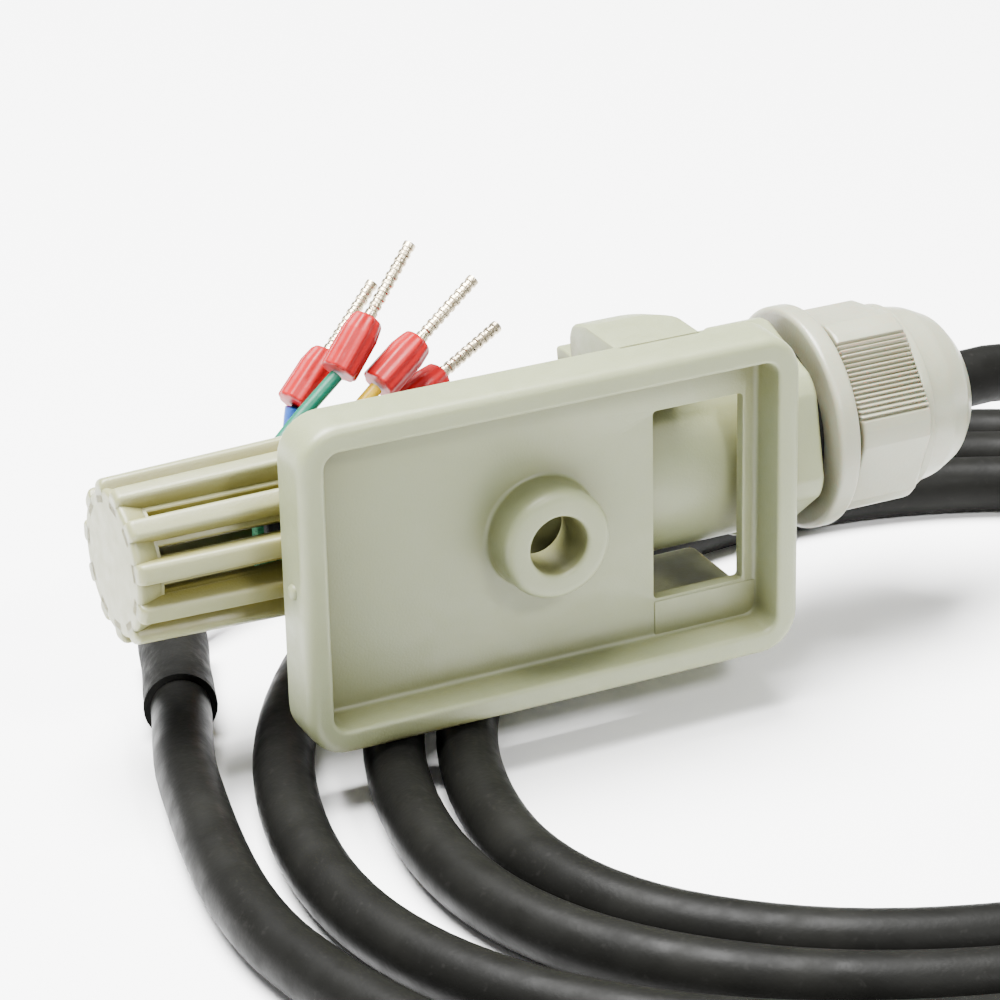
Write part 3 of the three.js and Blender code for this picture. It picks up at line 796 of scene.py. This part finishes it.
def make_core(colour, seat, route, tip):
    """One stripped core with its ferrule and crimped pin."""
    aside = Vector((LEAD_HEADING.y, -LEAD_HEADING.x, 0)) * seat[0]
    shift = aside + Vector((0, 0, seat[1]))
    base = Vector(route[-1])
    heading = (Vector(tip) - base).normalized()
    line = smooth_line([lead_point(2) + shift, lead_point(-1.5) + shift, *map(Vector, route)], 0.6)
    build = bmesh.new()
    tube_mesh(build, line, CORE_R, 16)
    wire = piece("wire_" + colour, build, colour, "holder", ["core_" + colour])

    build = bmesh.new()
    collar = fillet([(0.3, 0.7), (0.3, 1.75), (4.4, 1.75), (6.1, 1.45), (6.2, 0.62)], [0, 0.3, 1.2, 0.6, 0], 6)
    turned_along(build, base, heading, collar, 120, flutes=10, depth=0.11)
    ferrule = piece("collar_" + colour, build, "red", "holder", ["ferrule_" + colour])

    build = bmesh.new()
    crimp = [(6.3, 0.3), (6.35, 0.58)]
    for k in range(9):
        x = 6.8 + k * 0.8
        crimp += [(x, 0.6), (x + 0.12, 0.5), (x + 0.4, 0.5), (x + 0.52, 0.6)]
    crimp += [(14.2, 0.58), (14.3, 0.3)]
    turned_along(build, base, heading, crimp, 20)
    pin = piece("crimp_" + colour, build, "tin", "holder", ["pin_" + colour])
    return [wire, ferrule, pin]


def make_lead():
    line = smooth_line(cable_points())
    build = bmesh.new()
    tube_mesh(build, line, CABLE_R, 28)
    cable = piece("cable", build, "cable", "holder", ["cable_drop", "cable_loops"])
    on_it = [make_sleeve()]
    for core in CORES:
        on_it += make_core(*core)


# ---- inside ----
def block(build, low, high, edge=0.12):
    """A small block with chamfered edges: the hull of its cut corners."""
    points = []
    for x, ex in ((low[0], 1), (high[0], -1)):
        for y, ey in ((low[1], 1), (high[1], -1)):
            for z, ez in ((low[2], 1), (high[2], -1)):
                points.append(P(x + ex * edge, y + ey * edge, z))
                points.append(P(x + ex * edge, y, z + ez * edge))
                points.append(P(x, y + ey * edge, z + ez * edge))
    corners = [build.verts.new(p) for p in points]
    bmesh.ops.convex_hull(build, input=corners)


def to_mm(point):
    """A row-frame point back in the design's millimetres."""
    return point.x / MM + CENTRE_X, point.y / MM + CENTRE_Y, point.z / MM


def make_inside():
    for name, look, slot in (
        ("sensor_board", "board", "green_board"), ("humidity_chip", "chip", "black_epoxy"),
        ("controller_chip", "chip", "black_epoxy"), ("bus_chip", "chip", "black_epoxy"),
        ("regulator", "chip", "black_epoxy"), ("capacitor", "tantalum", "tantalum"),
    ):
        low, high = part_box(name)
        build = bmesh.new()
        block(build, to_mm(low), to_mm(high))
        piece(name + "_detail", build, look, "probe", [name], sharp=20)
    for colour in ("green", "yellow", "brown", "blue"):
        node = "inner_wire_" + colour
        low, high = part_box(node)
        z = (low.z + high.z) / 2 / MM
        build = bmesh.new()
        tube_mesh(build, [Vector((12.5 + k * 0.6, AXIS_Y, z)) for k in range(11)], 0.52, 14)
        piece("conductor_" + colour, build, colour, "probe", [node])


# ---- stage ----
def make_stage():
    build = bmesh.new()
    height = (TABLE - 0.02) * MM
    corners = ((-3, -3), (3, -3), (3, 3), (-3, 3))
    build.faces.new([build.verts.new((x, y, height)) for x, y in corners])
    mesh = bpy.data.meshes.new("floor")
    build.to_mesh(mesh)
    build.free()
    look = Look("floor_look", (0.93, 0.93, 0.93), 0.6)
    look.vary(2, (0.90, 0.90, 0.90), 0.3)
    mesh.materials.append(look.material)
    floor = bpy.data.objects.new("floor", mesh)
    bpy.context.scene.collection.objects.link(floor)


def add_light(name, place, target, size, power, colour=(1, 1, 1)):
    data = bpy.data.lights.new(name, "AREA")
    data.shape = "RECTANGLE"
    data.size, data.size_y = size
    data.energy = power
    data.color = colour
    lamp = bpy.data.objects.new(name, data)
    bpy.context.scene.collection.objects.link(lamp)
    lamp.location = place
    lamp.rotation_euler = (Vector(target) - Vector(place)).to_track_quat("-Z", "Y").to_euler()


def make_lights():
    world = bpy.data.worlds.new("studio")
    world.use_nodes = True
    background = world.node_tree.nodes["Background"]
    background.inputs["Color"].default_value = (1, 1, 1, 1)
    background.inputs["Strength"].default_value = 0.5
    bpy.context.scene.world = world
    add_light("overhead", (-0.10, 0.10, 0.75), (0, 0, 0), (0.55, 0.45), 57.0)
    add_light("key", (0.10, -0.58, 0.46), (0, 0, 0), (0.10, 0.10), 5.0)


make_lead()
make_tray()
make_moulding_marks()
make_arm("clip_upper", ARM_START, UPPER_END, UPPER_REACH, 1, True, 3.4)
make_arm("clip_lower", ARM_START, LOWER_END, LOWER_REACH, -1, False, 0.6)
make_arm("clip_lower_rib", ARM_START, RIB_END, UPPER_REACH, -1, True, 0.6)
make_lip("clip_lip_upper", 81, 122)
make_lip("clip_lip_lower", 238, 279)
make_tube()
make_cage()
make_gland()
make_clamp()
make_nut()
make_inside()
make_stage()
make_lights()
